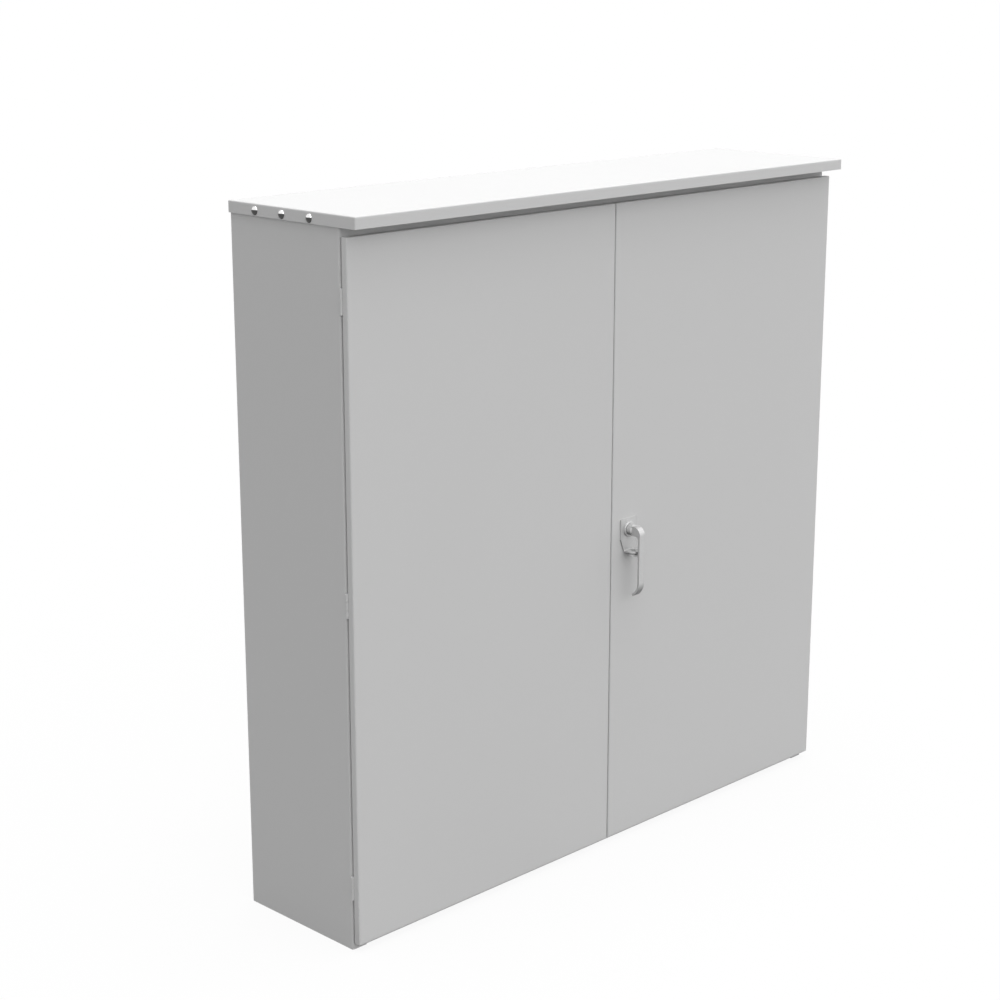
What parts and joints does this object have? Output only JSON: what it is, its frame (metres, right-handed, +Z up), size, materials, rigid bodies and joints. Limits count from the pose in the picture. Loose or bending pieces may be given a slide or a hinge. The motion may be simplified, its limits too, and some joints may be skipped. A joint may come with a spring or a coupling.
{
  "type": "utility cabinet",
  "caption": "Free-standing steel outdoor utility cabinet with a flat drip roof, twin folded doors on butt hinges and a padlockable lever latch; holds electrical gear.",
  "frame": {"origin": "centre of the bottom face of the body", "axes": "+Z up, -Y out of the doors, +X to the viewer's right when facing the doors"},
  "size_m": [1.2334, 0.3161, 1.218],
  "materials": {
    "grey_powder_coat": "light grey powder coat with a fine orange peel",
    "zinc_plated_steel": "bright zinc plate",
    "bright_bolt_steel": "polished bright steel",
    "cast_handle_metal": "satin cast metal",
    "black_gasket": "matt black rubber",
    "white_panel_paint": "white enamel",
    "tinned_aluminium": "bright tinned aluminium"
  },
  "bodies": {
    "cabinet": {"left_side_panel": "grey_powder_coat", "right_side_panel": "grey_powder_coat", "back_panel": "grey_powder_coat", "top_panel": "grey_powder_coat", "bottom_panel": "grey_powder_coat", "roof_cap": "grey_powder_coat", "roof_bolts": "bright_bolt_steel", "roof_nuts": "zinc_plated_steel", "centre_post": "grey_powder_coat", "post_screws": "zinc_plated_steel", "equipment_panel": "white_panel_paint", "panel_standoffs": "zinc_plated_steel", "panel_nuts": "zinc_plated_steel", "ground_lug": "tinned_aluminium", "ground_stud": "zinc_plated_steel", "ground_nut": "zinc_plated_steel", "left_hinge_body_leaf_top": "grey_powder_coat", "left_hinge_body_leaf_middle": "grey_powder_coat", "left_hinge_body_leaf_bottom": "grey_powder_coat", "right_hinge_body_leaf_top": "grey_powder_coat", "right_hinge_body_leaf_middle": "grey_powder_coat", "right_hinge_body_leaf_bottom": "grey_powder_coat", "left_hinge_pin_top": "zinc_plated_steel", "left_hinge_pin_middle": "zinc_plated_steel", "left_hinge_pin_bottom": "zinc_plated_steel", "right_hinge_pin_top": "zinc_plated_steel", "right_hinge_pin_middle": "zinc_plated_steel", "right_hinge_pin_bottom": "zinc_plated_steel"},
    "left_door": {"left_door": "grey_powder_coat", "left_door_stiffener": "grey_powder_coat", "left_door_gasket": "black_gasket", "upper_bolt_bracket": "zinc_plated_steel", "lower_bolt_bracket": "zinc_plated_steel", "left_hinge_door_leaf_top": "grey_powder_coat", "left_hinge_door_leaf_middle": "grey_powder_coat", "left_hinge_door_leaf_bottom": "grey_powder_coat"},
    "right_door": {"right_door": "grey_powder_coat", "right_door_stiffener": "grey_powder_coat", "right_door_gasket": "black_gasket", "handle_plate": "cast_handle_metal", "handle_plate_nuts": "zinc_plated_steel", "handle_bushing": "cast_handle_metal", "bushing_nut": "zinc_plated_steel", "upper_rod_guide": "zinc_plated_steel", "lower_rod_guide": "zinc_plated_steel", "right_hinge_door_leaf_top": "grey_powder_coat", "right_hinge_door_leaf_middle": "grey_powder_coat", "right_hinge_door_leaf_bottom": "grey_powder_coat"},
    "handle": {"handle_lever": "cast_handle_metal", "latch_cam": "zinc_plated_steel", "cam_pins": "zinc_plated_steel", "spindle_washer": "zinc_plated_steel", "spindle_nut": "zinc_plated_steel"},
    "upper_rod": {"upper_latch_rod": "zinc_plated_steel"},
    "lower_rod": {"lower_latch_rod": "zinc_plated_steel"},
    "upper_bolt": {"upper_slide_bolt": "zinc_plated_steel"},
    "lower_bolt": {"lower_slide_bolt": "zinc_plated_steel"}
  },
  "joints": [
    {"name": "left_door_hinge", "type": "hinge", "parent": "cabinet", "child": "left_door", "pos_m": [-0.6088, -0.13305, 0.59835], "axis": [0, 0, -1], "range_deg": [0, 120]},
    {"name": "right_door_hinge", "type": "hinge", "parent": "cabinet", "child": "right_door", "pos_m": [0.6088, -0.13305, 0.59835], "axis": [0, 0, 1], "range_deg": [0, 120]},
    {"name": "handle_turn", "type": "hinge", "parent": "right_door", "child": "handle", "pos_m": [0.0445, -0.14775, 0.59835], "axis": [0, -1, 0], "range_deg": [0, 90]},
    {"name": "upper_rod_slide", "type": "slide", "parent": "right_door", "child": "upper_rod", "axis": [0, 0, -1], "range_m": [0, 0.0283]},
    {"name": "lower_rod_slide", "type": "slide", "parent": "right_door", "child": "lower_rod", "axis": [0, 0, 1], "range_m": [0, 0.0283]},
    {"name": "upper_bolt_slide", "type": "slide", "parent": "left_door", "child": "upper_bolt", "axis": [0, 0, 1], "range_m": [0, 0.02]},
    {"name": "lower_bolt_slide", "type": "slide", "parent": "left_door", "child": "lower_bolt", "axis": [0, 0, -1], "range_m": [0, 0.02]}
  ],
  "couplings": [
    {"joint": "upper_rod_slide", "follows": "handle_turn", "m_per_rad": 0.018006},
    {"joint": "lower_rod_slide", "follows": "handle_turn", "m_per_rad": 0.018006}
  ]
}
